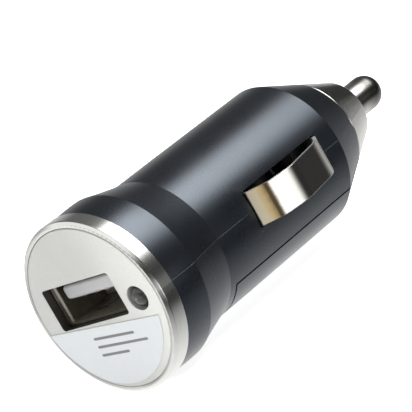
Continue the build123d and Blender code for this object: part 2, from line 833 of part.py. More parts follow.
with BuildPart() as ground_lead_left:
    mirror(ground_lead_right.part, about=Plane.YZ)
ground_lead_left.part.label = "ground_lead_left"
export_step(ground_lead_left.part, "parts/ground_lead_left.step")
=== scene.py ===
"""Looks of a plug-in car USB charger: a finish for each piece, a studio and the photograph's camera."""

import logging
import math
from dataclasses import dataclass
from enum import Enum
from typing import Any, Mapping, Optional, Sequence, Union

import bmesh
import bpy
from mathutils import Matrix, Vector


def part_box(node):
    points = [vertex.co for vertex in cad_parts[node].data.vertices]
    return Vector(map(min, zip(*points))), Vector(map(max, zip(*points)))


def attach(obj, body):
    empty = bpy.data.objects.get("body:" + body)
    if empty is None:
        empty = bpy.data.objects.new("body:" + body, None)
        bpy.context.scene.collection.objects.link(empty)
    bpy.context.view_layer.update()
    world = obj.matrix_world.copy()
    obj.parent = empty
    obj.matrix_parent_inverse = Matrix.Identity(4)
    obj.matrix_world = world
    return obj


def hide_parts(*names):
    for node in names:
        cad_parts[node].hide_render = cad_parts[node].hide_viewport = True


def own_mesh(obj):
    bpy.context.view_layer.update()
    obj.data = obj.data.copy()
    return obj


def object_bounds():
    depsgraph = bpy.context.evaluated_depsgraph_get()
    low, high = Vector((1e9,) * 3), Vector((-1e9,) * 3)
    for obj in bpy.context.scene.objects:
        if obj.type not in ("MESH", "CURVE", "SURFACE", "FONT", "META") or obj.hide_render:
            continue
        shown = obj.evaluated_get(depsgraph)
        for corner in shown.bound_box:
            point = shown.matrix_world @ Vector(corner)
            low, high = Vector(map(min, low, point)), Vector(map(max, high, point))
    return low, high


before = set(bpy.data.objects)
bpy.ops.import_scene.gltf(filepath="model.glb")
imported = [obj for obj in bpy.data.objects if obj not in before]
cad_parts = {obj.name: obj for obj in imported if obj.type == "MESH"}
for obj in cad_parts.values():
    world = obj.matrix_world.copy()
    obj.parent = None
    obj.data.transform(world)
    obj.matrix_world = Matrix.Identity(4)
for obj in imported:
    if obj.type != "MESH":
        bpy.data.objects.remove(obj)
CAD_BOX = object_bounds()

log = logging.getLogger("charger")

MM = 0.001
HOUSING = "housing"

Colour = tuple[float, float, float]
Point = tuple[float, float, float]
Way = tuple[float, float, float]
Span = tuple[float, float]
Stops = tuple[tuple[float, Colour], ...]
Number = Union[int, float]

WHITE: Colour = (1.0, 1.0, 1.0)
ORIGIN: Point = (0.0, 0.0, 0.0)
PLUG_AXIS: Way = (0.0, 1.0, 0.0)
FACE_WAY: Way = (0.0, -1.0, 0.0)
ACROSS_PLUG: Way = (1.0, 0.0, 1.0)

# Mean of a noise, and of the random shades of the flakes
MIDDLE = 0.5

# Length of one band of a wave texture at scale 1
WAVE_LENGTH = math.pi / 10

# Rays that look round an edge to ease it
EDGE_SAMPLES = 6

# Sockets of a Mix node that belong to colours
MIX_SHARE = 0
MIX_FIRST = 6
MIX_SECOND = 7
MIX_RESULT = 2


class Side(Enum):
    """The two sides of the plug that have a leaf contact."""

    LEFT = "left"
    RIGHT = "right"


class Maths(Enum):
    """Operations of a Math node that the finishes use."""

    ADD = "ADD"
    SUBTRACT = "SUBTRACT"
    MULTIPLY = "MULTIPLY"
    DIVIDE = "DIVIDE"
    POWER = "POWER"
    MAXIMUM = "MAXIMUM"
    ABSOLUTE = "ABSOLUTE"


class Lay(Enum):
    """Which way the marks of a worked metal run."""

    TURNED = "Y"
    WOUND = "Z"


class Detail(Enum):
    """How many finer layers a noise has."""

    PLAIN = 2.0
    FINE = 3.0
    RICH = 4.0


class Signal:
    """A socket of a shader graph that takes part in Python arithmetic."""

    def __init__(self, graph: "Graph", socket: bpy.types.NodeSocket) -> None:
        """Keeps the socket and the graph that new nodes go into."""
        self.graph = graph
        self.socket = socket

    def _join(self, maths: Maths, left: Any, right: Any) -> "Signal":
        """Adds one Math node.

        Args:
            maths: The operation.
            left: First operand, a signal or a number.
            right: Second operand, a signal or a number.

        Returns:
            The node's result.
        """
        return self.graph.node("ShaderNodeMath", {"operation": maths.value}, {0: left, 1: right})

    def __add__(self, other: Any) -> "Signal":
        """Sum of two values."""
        return self._join(Maths.ADD, self, other)

    def __radd__(self, other: Number) -> "Signal":
        """Sum with a number on the left."""
        return self._join(Maths.ADD, other, self)

    def __sub__(self, other: Any) -> "Signal":
        """Difference of two values."""
        return self._join(Maths.SUBTRACT, self, other)

    def __rsub__(self, other: Number) -> "Signal":
        """Difference from a number on the left."""
        return self._join(Maths.SUBTRACT, other, self)

    def __mul__(self, other: Any) -> "Signal":
        """Product of two values."""
        return self._join(Maths.MULTIPLY, self, other)

    def __rmul__(self, other: Number) -> "Signal":
        """Product with a number on the left."""
        return self._join(Maths.MULTIPLY, other, self)

    def __truediv__(self, other: Any) -> "Signal":
        """Quotient of two values."""
        return self._join(Maths.DIVIDE, self, other)

    def __rtruediv__(self, other: Number) -> "Signal":
        """Quotient of a number on the left."""
        return self._join(Maths.DIVIDE, other, self)

    def __pow__(self, other: Any) -> "Signal":
        """Power of a value."""
        return self._join(Maths.POWER, self, other)

    def __rpow__(self, other: Number) -> "Signal":
        """Power of a number on the left."""
        return self._join(Maths.POWER, other, self)

    def __abs__(self) -> "Signal":
        """Size of a value, without its sign."""
        return self.graph.node("ShaderNodeMath", {"operation": Maths.ABSOLUTE.value}, {0: self})

    def at_least(self, floor: Number) -> "Signal":
        """The value, or a number if that is larger."""
        return self._join(Maths.MAXIMUM, self, floor)

    def step(self, low: Number, high: Number) -> "Signal":
        """Smooth rise from 0 to 1.

        Args:
            low: Where the rise starts.
            high: Where it ends.

        Returns:
            The eased value.
        """
        settings = {"interpolation_type": "SMOOTHSTEP"}
        return self.graph.node("ShaderNodeMapRange", settings, {0: self, 1: low, 2: high})


class Graph:
    """A node tree and the few ways in which the finishes add to it."""

    def __init__(self, tree: bpy.types.NodeTree) -> None:
        """Empties the tree."""
        self.tree = tree
        tree.nodes.clear()

    def node(
        self,
        kind: str,
        settings: Optional[Mapping[str, Any]] = None,
        inputs: Optional[Mapping[Union[str, int], Any]] = None,
        output: Union[str, int] = 0,
    ) -> Signal:
        """Adds any node.

        Args:
            kind: The node's type.
            settings: Attributes to set first; "stops" holds a ramp's (position, colour) pairs.
            inputs: Values or signals for its sockets, by name or number.
            output: The socket to return.

        Returns:
            The chosen output.
        """
        made = self.tree.nodes.new(kind)
        for key, value in (settings or {}).items():
            if key == "stops":
                self._set_stops(made.color_ramp, value)
            else:
                setattr(made, key, value)
        for key, value in (inputs or {}).items():
            if isinstance(value, Signal):
                self.tree.links.new(value.socket, made.inputs[key])
            elif isinstance(value, tuple) and made.inputs[key].type == "RGBA":
                made.inputs[key].default_value = (*value, 1.0)
            else:
                made.inputs[key].default_value = value
        return Signal(self, made.outputs[output] if made.outputs else None)

    @staticmethod
    def _set_stops(ramp: bpy.types.ColorRamp, stops: Stops) -> None:
        """Gives a ramp its stops.

        Args:
            ramp: A new node's ramp, which has two stops.
            stops: Positions and colours, in rising order.
        """
        while len(ramp.elements) < len(stops):
            ramp.elements.new(1.0)
        for element, (position, colour) in zip(ramp.elements, stops):
            element.position = position
            element.color = (*colour, 1.0)

    def place(self) -> Signal:
        """The point on the piece, in metres in the part's frame."""
        return self.node("ShaderNodeTexCoord", output="Object")

    def axis(self, place: Signal, name: str) -> Signal:
        """One coordinate of a point."""
        return self.node("ShaderNodeSeparateXYZ", inputs={0: place}, output=name)

    def noise(self, place: Signal, pitch: float, detail: Detail = Detail.PLAIN) -> Signal:
        """Cloudy noise.

        Args:
            place: Point to read it at.
            pitch: Size of a cloud, in metres.
            detail: How fine it goes.

        Returns:
            Values about 0.5.
        """
        inputs = {"Vector": place, "Scale": 1 / pitch, "Detail": detail.value}
        return self.node("ShaderNodeTexNoise", inputs=inputs)

    def mix(self, share: Any, first: Any, second: Any) -> Signal:
        """Blend of two colours.

        Args:
            share: 0 gives the first and 1 the second.
            first: A colour or a signal.
            second: A colour or a signal.

        Returns:
            The blend.
        """
        inputs = {MIX_SHARE: share, MIX_FIRST: first, MIX_SECOND: second}
        return self.node("ShaderNodeMix", {"data_type": "RGBA"}, inputs, output=MIX_RESULT)

    def shades(self, share: Signal, colour: Colour, span: Span) -> Signal:
        """One colour in many shades.

        Args:
            share: 0 gives the darkest and 1 the lightest.
            colour: The colour.
            span: Factors of the darkest and the lightest shade.

        Returns:
            The shaded colour.
        """
        darkest, lightest = span
        return self.mix(share, scaled(colour, darkest), scaled(colour, lightest))

    def lean(self, way: Signal, towards: Sequence[float]) -> Signal:
        """Dot product of a vector signal with a fixed vector."""
        settings = {"operation": "DOT_PRODUCT"}
        return self.node("ShaderNodeVectorMath", settings, {0: way, 1: tuple(towards)}, output="Value")

    def spread(self, place: Signal, centre: Sequence[float]) -> Signal:
        """Distance of a point from a line along the plug.

        Args:
            place: The point.
            centre: Any point of the line.

        Returns:
            The distance, in metres.
        """
        off = self.node("ShaderNodeVectorMath", {"operation": "SUBTRACT"}, {0: place, 1: tuple(centre)})
        flat = self.node("ShaderNodeVectorMath", {"operation": "MULTIPLY"}, {0: off, 1: ACROSS_PLUG})
        return self.node("ShaderNodeVectorMath", {"operation": "LENGTH"}, {0: flat}, output="Value")

    def eased_edges(self, radius: float) -> Signal:
        """Normals that round the sharp edges off by a radius in metres."""
        return self.node("ShaderNodeBevel", {"samples": EDGE_SAMPLES}, {"Radius": radius})

    def bump(self, height: Signal, depth: float, normal: Signal) -> Signal:
        """Relief on a surface.

        Args:
            height: Values from 0 to 1.
            depth: What a height of 1 stands for, in metres.
            normal: The surface's own normal.

        Returns:
            The new normal.
        """
        inputs = {"Distance": depth, "Height": height, "Normal": normal}
        return self.node("ShaderNodeBump", inputs=inputs)


def surface_of(name: str) -> tuple[bpy.types.Material, Graph]:
    """Starts a material.

    Args:
        name: The finish's name.

    Returns:
        The material and its emptied graph.
    """
    material = bpy.data.materials.new(name)
    material.use_nodes = True
    return material, Graph(material.node_tree)


def close_surface(graph: Graph, sockets: Mapping[str, Any]) -> None:
    """Ends a graph in one Principled shader.

    Args:
        graph: The material's graph.
        sockets: Values and signals for the shader.
    """
    shader = graph.node("ShaderNodeBsdfPrincipled", inputs=sockets)
    graph.node("ShaderNodeOutputMaterial", inputs={"Surface": shader})


def scaled(colour: Colour, factor: float) -> Colour:
    """A colour made darker or lighter by a factor."""
    return tuple(min(1.0, part * factor) for part in colour)


@dataclass(frozen=True)
class MouldedPlastic:
    """Moulded plastic with a fine eroded grain, slightly uneven in gloss."""

    name: str
    colour: Colour
    roughness: float = 0.4
    gloss_spread: float = 0.1
    grain_pitch: float = 0.16 * MM
    grain_depth: float = 0.005 * MM
    cloud_pitch: float = 6 * MM
    edge_radius: float = 0.1 * MM
    tints: Span = (0.85, 1.15)
    sheen: Colour = WHITE
    index: float = 1.5

    def material(self) -> bpy.types.Material:
        """Makes the finish.

        Returns:
            A new material.
        """
        material, graph = surface_of(self.name)
        place = graph.place()
        grain = graph.noise(place, self.grain_pitch, Detail.FINE)
        cloud = graph.noise(place, self.cloud_pitch)
        close_surface(
            graph,
            {
                "Base Color": graph.shades(cloud, self.colour, self.tints),
                "Roughness": self.roughness + (cloud + grain - 2 * MIDDLE) * self.gloss_spread,
                "IOR": self.index,
                "Specular Tint": self.sheen,
                "Normal": graph.bump(grain, self.grain_depth, graph.eased_edges(self.edge_radius)),
            },
        )
        return material


@dataclass(frozen=True)
class MirrorPlate:
    """Bright plating: a mirror with a trace of ripple and haze."""

    name: str
    colour: Colour
    roughness: float = 0.05
    haze: float = 0.05
    haze_pitch: float = 0.625 * MM
    tints: Span = (0.96, 1.04)
    ripple_pitch: float = 2.5 * MM
    ripple_depth: float = 0.004 * MM
    edge_radius: float = 0.06 * MM

    def material(self) -> bpy.types.Material:
        """Makes the finish.

        Returns:
            A new material.
        """
        material, graph = surface_of(self.name)
        place = graph.place()
        ripple = graph.noise(place, self.ripple_pitch)
        film = graph.noise(place, self.haze_pitch, Detail.RICH)
        close_surface(
            graph,
            {
                "Base Color": graph.shades(film, self.colour, self.tints),
                "Metallic": 1.0,
                "Roughness": self.roughness + film * self.haze,
                "Normal": graph.bump(ripple, self.ripple_depth, graph.eased_edges(self.edge_radius)),
            },
        )
        return material


@dataclass(frozen=True)
class ScuffedPin:
    """Bright nickel on the pin, scuffed towards the tip where it meets the socket and darkened there as
    painted shade.
    """

    name: str
    colour: Colour
    scuff_start: float
    scuff_end: float
    tip_painted_shade: float = 0.35
    scuff_haze: float = 0.05
    scuff_cover: float = 0.7
    scuff_contrast: float = 0.6
    roughness: float = 0.2
    scuff_pitch: float = 0.5 * MM
    scuff_depth: float = 0.004 * MM
    edge_radius: float = 0.06 * MM

    def material(self) -> bpy.types.Material:
        """Makes the finish.

        Returns:
            A new material.
        """
        material, graph = surface_of(self.name)
        place = graph.place()
        marks = graph.noise(place, self.scuff_pitch, Detail.RICH)
        reach = graph.axis(place, "Y").step(self.scuff_start, self.scuff_end)
        # Painted shade: the mask that scuffs the tip also darkens its colour.
        scuff_and_painted_shade = reach * (marks * self.scuff_contrast + self.scuff_cover)
        close_surface(
            graph,
            {
                "Base Color": graph.mix(scuff_and_painted_shade, self.colour, scaled(self.colour, self.tip_painted_shade)),
                "Metallic": 1.0,
                "Roughness": self.roughness + scuff_and_painted_shade * self.scuff_haze,
                "Normal": graph.bump(marks, self.scuff_depth, graph.eased_edges(self.edge_radius)),
            },
        )
        return material


@dataclass(frozen=True)
class LeafPlate:
    """Nickel on a leaf contact: rolled lengthwise, cream to dark brown to nickel along its front ramp,
    satin at its tail.
    """

    name: str
    colour: Colour
    stops: Stops
    ramp_start: float
    ramp_length: float
    tail_start: float
    tail_end: float
    tail_wear: float = 0.3
    ramp_fade: Span = (0.7, 1.0)
    ramp_wear: float = 0.14
    hidden_wear: float = 0.3
    hidden_painted_shade: float = 0.2
    wall_inner: float = 9.6 * MM
    wall_outer: float = 10.2 * MM
    roughness: float = 0.13
    roll_pitch: float = 0.2 * MM
    roll_length: float = 6 * MM
    roll_depth: float = 0.0015 * MM
    roll_haze: float = 0.06
    patch_pitch: float = 0.8 * MM
    patch_shift: float = 0.1
    edge_radius: float = 0.08 * MM

    def material(self) -> bpy.types.Material:
        """Makes the finish.

        Returns:
            A new material.
        """
        material, graph = surface_of(self.name)
        place = graph.place()
        stretch = (1.0, self.roll_pitch / self.roll_length, 1.0)
        drawn = graph.node("ShaderNodeVectorMath", {"operation": "MULTIPLY"}, {0: place, 1: stretch})
        lines = graph.noise(drawn, self.roll_pitch, Detail.FINE)
        patches = graph.noise(place, self.patch_pitch, Detail.FINE)
        station = graph.axis(place, "Y")
        along = (station - self.ramp_start) / self.ramp_length + (patches - MIDDLE) * self.patch_shift
        tail = station.step(self.tail_start, self.tail_end)
        # Painted shade: the part of the leaf inside the slot, below the barrel's outer surface, is
        # darkened.
        shown = abs(graph.axis(place, "X")).step(self.wall_inner, self.wall_outer)
        plating = graph.node("ShaderNodeValToRGB", {"stops": self.stops}, {"Fac": along})
        ramp = 1 - along.step(*self.ramp_fade)
        dulled = ramp * self.ramp_wear + (1 - shown) * self.hidden_wear + tail * self.tail_wear
        close_surface(
            graph,
            {
                "Base Color": graph.mix(shown, scaled(self.colour, self.hidden_painted_shade), plating),
                "Metallic": 1.0,
                "Roughness": self.roughness + lines * self.roll_haze + dulled,
                "Normal": graph.bump(lines, self.roll_depth, graph.eased_edges(self.edge_radius)),
            },
        )
        return material


@dataclass(frozen=True)
class WorkedMetal:
    """Metal with the fine rings of a lathe or the turns of a winding."""

    name: str
    colour: Colour
    lay: Lay = Lay.TURNED
    roughness: float = 0.3
    line_pitch: float = 0.12 * MM
    line_depth: float = 0.003 * MM
    line_waver: float = 0.6
    line_haze: float = 0.05
    cloud_pitch: float = 1.5 * MM
    cloud_haze: float = 0.1
    tints: Span = (0.9, 1.08)
    edge_radius: float = 0.08 * MM

    def material(self) -> bpy.types.Material:
        """Makes the finish.

        Returns:
            A new material.
        """
        material, graph = surface_of(self.name)
        place = graph.place()
        cloud = graph.noise(place, self.cloud_pitch, Detail.FINE)
        lines = graph.node(
            "ShaderNodeTexWave",
            {"bands_direction": self.lay.value},
            {
                "Vector": place,
                "Scale": WAVE_LENGTH / self.line_pitch,
                "Distortion": self.line_waver,
                "Detail": Detail.PLAIN.value,
            },
            output="Fac",
        )
        close_surface(
            graph,
            {
                "Base Color": graph.shades(cloud, self.colour, self.tints),
                "Metallic": 1.0,
                "Roughness": self.roughness + (cloud - MIDDLE) * self.cloud_haze + lines * self.line_haze,
                "Normal": graph.bump(lines, self.line_depth, graph.eased_edges(self.edge_radius)),
            },
        )
        return material


@dataclass(frozen=True)
class FoldedSteel:
    """Tinned sheet of the receptacle, brown stains within; cut edges darkened as painted shade, a painted
    highlight inside its left end.
    """

    name: str
    colour: Colour
    lip_painted_highlight: Colour
    lip_side: float
    lip_line: float
    lip_width: float = 0.45 * MM
    lip_fade: Span = (0.3, 0.6)
    lip_side_fade: float = 0.1 * MM
    roughness: float = 0.48
    stain_pitch: float = 1.2 * MM
    stain_depth: float = 0.004 * MM
    stain_haze: float = 0.15
    tints: Span = (0.7, 1.2)
    cut_painted_shade: float = 0.25
    cut_fade: Span = (0.3, 0.8)
    edge_radius: float = 0.05 * MM

    def material(self) -> bpy.types.Material:
        """Makes the finish.

        Returns:
            A new material.
        """
        material, graph = surface_of(self.name)
        place = graph.place()
        stain = graph.noise(place, self.stain_pitch, Detail.FINE)
        facing = graph.node("ShaderNodeTexCoord", output="Normal")
        # Painted shade: faces turned to the front, the sheet's cut edges, are darkened.
        cut = graph.lean(facing, FACE_WAY).step(*self.cut_fade)
        # Painted highlight: a pale matte strip near the front of the left wall.
        left = 1 - graph.axis(place, "X").step(self.lip_side, self.lip_side + self.lip_side_fade)
        off_line = abs(graph.axis(place, "Y") - self.lip_line) / self.lip_width
        painted_lip_highlight = left * (1 - off_line.step(*self.lip_fade))
        sheet = graph.shades(stain, self.colour, self.tints)
        stain_and_cut_shade = graph.mix(cut, sheet, scaled(self.colour, self.cut_painted_shade))
        close_surface(
            graph,
            {
                "Base Color": graph.mix(painted_lip_highlight, stain_and_cut_shade, self.lip_painted_highlight),
                "Metallic": 1 - painted_lip_highlight,
                "Roughness": self.roughness + (stain - MIDDLE) * self.stain_haze,
                "Normal": graph.bump(stain, self.stain_depth, graph.eased_edges(self.edge_radius)),
            },
        )
        return material


@dataclass(frozen=True)
class SilverLacquer:
    """Satin lacquer with fine metal flake; painted light lightens its lamp side, painted shade blackens
    the slot's walls.
    """

    name: str
    colour: Colour
    slot_wall_painted_shade: Colour
    lamp_side: float
    plate_radius: float = 11 * MM
    rim_inset: Span = (1.0 * MM, 0.6 * MM)
    slot_fade: float = 0.2 * MM
    wall_fade: Span = (0.2, 0.5)
    tints: Span = (0.88, 1.46)
    cloud_share: float = 0.2
    fleck_share: float = 0.2
    painted_light_share: float = 0.6
    metallic: float = 0.35
    roughness: float = 0.42
    flake_pitch: float = 0.09 * MM
    flake_depth: float = 0.002 * MM
    flake_haze: float = 0.08
    cloud_pitch: float = 7 * MM
    edge_radius: float = 0.12 * MM

    def material(self) -> bpy.types.Material:
        """Makes the finish.

        Returns:
            A new material.
        """
        material, graph = surface_of(self.name)
        place = graph.place()
        flake = graph.node(
            "ShaderNodeTexVoronoi",
            inputs={"Vector": place, "Scale": 1 / self.flake_pitch},
            output="Color",
        )
        fleck = graph.axis(flake, "X")
        cloud = graph.noise(place, self.cloud_pitch)
        across = graph.axis(place, "X")
        # Painted light: the lacquer is coloured lighter towards the lamp side.
        painted_side_light = across.step(0.0, self.plate_radius)
        tint = cloud * self.cloud_share + fleck * self.fleck_share + painted_side_light * self.painted_light_share
        silver = graph.shades(tint, self.colour, self.tints)
        facing = graph.node("ShaderNodeTexCoord", output="Normal")
        # Painted shade: the slot's side walls are coloured near-black, while the rim and the lamp's hole
        # stay silver.
        wall = 1 - graph.lean(facing, FACE_WAY).step(*self.wall_fade)
        slot = 1 - across.step(self.lamp_side - self.slot_fade, self.lamp_side)
        rim_start, rim_end = (self.plate_radius - inset for inset in self.rim_inset)
        rim = graph.spread(place, ORIGIN).step(rim_start, rim_end)
        painted = 1 - wall * slot * (1 - rim)
        close_surface(
            graph,
            {
                "Base Color": graph.mix(painted, self.slot_wall_painted_shade, silver),
                "Metallic": painted * self.metallic,
                "Roughness": self.roughness + (fleck - MIDDLE) * self.flake_haze,
                "Normal": graph.bump(fleck, self.flake_depth, graph.eased_edges(self.edge_radius)),
            },
        )
        return material


@dataclass(frozen=True)
class PrintedFilm:
    """Smooth sticker film or the ink on it, with a faint orange peel."""

    name: str
    colour: Colour
    roughness: float = 0.32
    peel_pitch: float = 0.7 * MM
    peel_depth: float = 0.002 * MM
    peel_haze: float = 0.1
    tints: Span = (0.97, 1.03)
    edge_radius: float = 0.04 * MM

    def material(self) -> bpy.types.Material:
        """Makes the finish.

        Returns:
            A new material.
        """
        material, graph = surface_of(self.name)
        place = graph.place()
        peel = graph.noise(place, self.peel_pitch)
        close_surface(
            graph,
            {
                "Base Color": graph.shades(peel, self.colour, self.tints),
                "Roughness": self.roughness + (peel - MIDDLE) * self.peel_haze,
                "Normal": graph.bump(peel, self.peel_depth, graph.eased_edges(self.edge_radius)),
            },
        )
        return material


@dataclass(frozen=True)
class LampResin:
    """Smoked resin of a lamp, with a painted highlight as a pale spot at its crown, darker towards its
    rim.
    """

    name: str
    stops: Stops
    centre: Point
    radius: float
    roughness: float = 0.1
    swirl_pitch: float = 0.6 * MM
    swirl_depth: float = 0.004 * MM
    swirl_shift: float = 0.3
    swirl_haze: float = 0.1
    edge_radius: float = 0.05 * MM

    def material(self) -> bpy.types.Material:
        """Makes the finish.

        Returns:
            A new material.
        """
        material, graph = surface_of(self.name)
        place = graph.place()
        swirl = graph.noise(place, self.swirl_pitch)
        reach = graph.spread(place, self.centre) / self.radius + (swirl - MIDDLE) * self.swirl_shift
        close_surface(
            graph,
            {
                "Base Color": graph.node("ShaderNodeValToRGB", {"stops": self.stops}, {"Fac": reach}),
                "Roughness": self.roughness + swirl * self.swirl_haze,
                "Normal": graph.bump(swirl, self.swirl_depth, graph.eased_edges(self.edge_radius)),
            },
        )
        return material


@dataclass(frozen=True)
class SleevedCan:
    """Drawn can of a capacitor in a dark shrink sleeve that leaves its ends bare."""

    name: str
    sleeve_colour: Colour
    can_colour: Colour
    roughness: float = 0.4
    crease_pitch: float = 0.9 * MM
    crease_depth: float = 0.02 * MM
    crease_haze: float = 0.2
    end_fade: Span = (0.8, 0.95)
    edge_radius: float = 0.1 * MM

    def material(self) -> bpy.types.Material:
        """Makes the finish.

        Returns:
            A new material.
        """
        material, graph = surface_of(self.name)
        crease = graph.noise(graph.place(), self.crease_pitch)
        facing = graph.node("ShaderNodeTexCoord", output="Normal")
        bare = abs(graph.axis(facing, "Z")).step(*self.end_fade)
        close_surface(
            graph,
            {
                "Base Color": graph.mix(bare, self.sleeve_colour, self.can_colour),
                "Metallic": bare,
                "Roughness": self.roughness + (crease - MIDDLE) * self.crease_haze,
                "Normal": graph.bump(crease, self.crease_depth, graph.eased_edges(self.edge_radius)),
            },
        )
        return material


@dataclass(frozen=True)
class SolderMask:
    """Circuit board lacquer over a network of tracks, with tinned spots."""

    name: str
    colour: Colour
    track_colour: Colour
    tin_colour: Colour
    roughness: float = 0.35
    tin_polish: float = 0.1
    track_pitch: float = 1.6 * MM
    track_depth: float = 0.03 * MM
    track_fade: Span = (0.06, 0.1)
    spot_pitch: float = 2.4 * MM
    spot_fade: Span = (0.12, 0.16)
    edge_radius: float = 0.05 * MM

    def material(self) -> bpy.types.Material:
        """Makes the finish.

        Returns:
            A new material.
        """
        material, graph = surface_of(self.name)
        place = graph.place()
        cells = graph.node(
            "ShaderNodeTexVoronoi",
            {"feature": "DISTANCE_TO_EDGE"},
            {"Vector": place, "Scale": 1 / self.track_pitch},
        )
        spots = graph.node(
            "ShaderNodeTexVoronoi",
            inputs={"Vector": place, "Scale": 1 / self.spot_pitch},
        )
        track = cells.step(*self.track_fade)
        tin = 1 - spots.step(*self.spot_fade)
        masked = graph.mix(track, self.colour, self.track_colour)
        close_surface(
            graph,
            {
                "Base Color": graph.mix(tin, masked, self.tin_colour),
                "Metallic": tin,
                "Roughness": self.roughness - tin * self.tin_polish,
                "Normal": graph.bump(track, self.track_depth, graph.eased_edges(self.edge_radius)),
            },
        )
        return material


# Finishes of the pieces that show
BODY_BLACK = MouldedPlastic(
    "body_black_plastic",
    (0.0042, 0.0052, 0.0072),
    roughness=0.29,
    sheen=(0.77, 0.875, 1.0),
    index=1.62,
)
RING_PLATE = MirrorPlate("ring_mirror_plate", (0.62, 0.62, 0.60), roughness=0.2, haze=0.02)
FACE_SILVER = SilverLacquer(
    "face_satin_silver",
    (0.51, 0.51, 0.487),
    slot_wall_painted_shade=(0.035, 0.03, 0.026),
    lamp_side=5.5 * MM,
)
LABEL_WHITE = PrintedFilm("label_white_film", (0.585, 0.61, 0.622))
LABEL_GREY = PrintedFilm("label_grey_ink", (0.17, 0.17, 0.172), roughness=0.45)
NOSE_NICKEL = WorkedMetal("nose_turned_nickel", (0.69, 0.68, 0.65), roughness=0.12)
PIN_NICKEL = ScuffedPin(
    "pin_bright_nickel", (0.52, 0.51, 0.48), scuff_start=41.0 * MM, scuff_end=43.4 * MM
)
LEAF_NICKEL = LeafPlate(
    "leaf_bright_nickel",
    (0.66, 0.64, 0.60),
    (
        (0.0, (0.60, 0.58, 0.52)),
        (0.3, (0.66, 0.59, 0.44)),
        (0.5, (0.58, 0.45, 0.25)),
        (0.68, (0.24, 0.18, 0.10)),
        (0.8, (0.27, 0.21, 0.14)),
        (0.93, (0.66, 0.64, 0.60)),
    ),
    ramp_start=7.55 * MM,
    ramp_length=2.0 * MM,
    tail_start=19.6 * MM,
    tail_end=21.4 * MM,
)
PORT_STEEL = FoldedSteel(
    "port_tinned_steel",
    (0.42, 0.39, 0.32),
    lip_painted_highlight=(0.62, 0.60, 0.55),
    lip_side=-7.8 * MM,
    lip_line=-11.25 * MM,
)
TONGUE_WHITE = MouldedPlastic(
    "tongue_white_plastic", (0.49, 0.495, 0.50), roughness=0.35, grain_depth=0.001 * MM
)
# Painted shade: the gilt contacts under the tongue are coloured dark.
CONTACT_GILT = MirrorPlate("contact_gilt", (0.30, 0.23, 0.11), roughness=0.35)
LAMP_SMOKE = LampResin(
    "lamp_smoked_resin",
    (
        # Painted highlight: the pale first stop at the crown.
        (0.0, (0.3, 0.3, 0.28)),
        (0.16, (0.05, 0.05, 0.045)),
        (0.7, (0.035, 0.035, 0.03)),
        (1.0, (0.012, 0.011, 0.009)),
    ),
    centre=(7.6 * MM, 0.0, -0.1 * MM),
    radius=1.5 * MM,
)

# Finishes of the pieces inside
SPRING_WIRE = WorkedMetal("spring_drawn_wire", (0.5, 0.5, 0.5), roughness=0.25, line_pitch=0.3 * MM)
# Painted shade: the brass terminal inside the body is coloured almost black.
TERMINAL_BRASS = WorkedMetal(
    "terminal_brass_painted_shade", (0.055, 0.04, 0.024), roughness=0.45, line_pitch=0.2 * MM
)
LEAD_TIN = WorkedMetal("lead_tin", (0.66, 0.66, 0.65), roughness=0.3, line_pitch=0.3 * MM)
BOARD_GREEN = SolderMask(
    "board_green_mask",
    (0.025, 0.16, 0.06),
    track_colour=(0.04, 0.24, 0.09),
    tin_colour=(0.7, 0.7, 0.68),
)
CAN_SLEEVED = SleevedCan(
    "can_dark_sleeve", sleeve_colour=(0.008, 0.008, 0.012), can_colour=(0.7, 0.7, 0.72)
)
CORE_FERRITE = MouldedPlastic("core_ferrite", (0.04, 0.04, 0.042), roughness=0.6, grain_depth=0.01 * MM)
WINDING_COPPER = WorkedMetal(
    "winding_copper",
    (0.72, 0.3, 0.13),
    Lay.WOUND,
    roughness=0.25,
    line_pitch=0.35 * MM,
    line_depth=0.12 * MM,
)
CHIP_RESIN = MouldedPlastic("chip_resin", (0.016, 0.016, 0.017), roughness=0.55, grain_depth=0.008 * MM)
CHIP_CERAMIC = MouldedPlastic("chip_ceramic", (0.45, 0.31, 0.18), roughness=0.5)
SLEEVE_BLACK = MouldedPlastic("lead_sleeve", (0.02, 0.02, 0.02), roughness=0.5)

Finish = Union[
    MouldedPlastic,
    MirrorPlate,
    ScuffedPin,
    LeafPlate,
    WorkedMetal,
    FoldedSteel,
    SilverLacquer,
    PrintedFilm,
    LampResin,
    SleevedCan,
    SolderMask,
]


def dress_node(node: str, finish: Finish) -> None:
    """Gives a CAD node its finish.

    Args:
        node: The node's name.
        finish: The finish, whose material is made once.
    """
    material = bpy.data.materials.get(finish.name) or finish.material()
    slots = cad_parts[node].material_slots
    for slot in slots:
        slot.material = material
    log.info("%s dressed with %s", node, finish.name)


def new_piece(name: str, mesh: bpy.types.Mesh, finish: Finish) -> bpy.types.Object:
    """Makes an object that rides on the housing.

    Args:
        name: The piece's name.
        mesh: Its mesh, which gets the finish.
        finish: Its finish.

    Returns:
        The object.
    """
    piece = bpy.data.objects.new(name, mesh)
    bpy.context.scene.collection.objects.link(piece)
    mesh.materials.clear()
    mesh.materials.append(bpy.data.materials.get(finish.name) or finish.material())
    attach(piece, HOUSING)
    log.info("%s rides on the %s", name, HOUSING)
    return piece


def flexing_piece(node: str, finish: Finish) -> None:
    """Puts a copy of a CAD node, riding on the housing, in the place of the hidden node.

    Args:
        node: The node, whose shape the piece has.
        finish: The piece's finish.
    """
    piece = new_piece(f"{node}_flexing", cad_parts[node].data.copy(), finish)
    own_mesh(piece)
    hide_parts(node)


@dataclass
class Housing:
    """The two moulded halves of the body."""

    halves: tuple[str, ...] = ("shell_upper", "shell_lower")

    def dress(self) -> None:
        """Gives both halves the black plastic."""
        for half in self.halves:
            dress_node(half, BODY_BLACK)


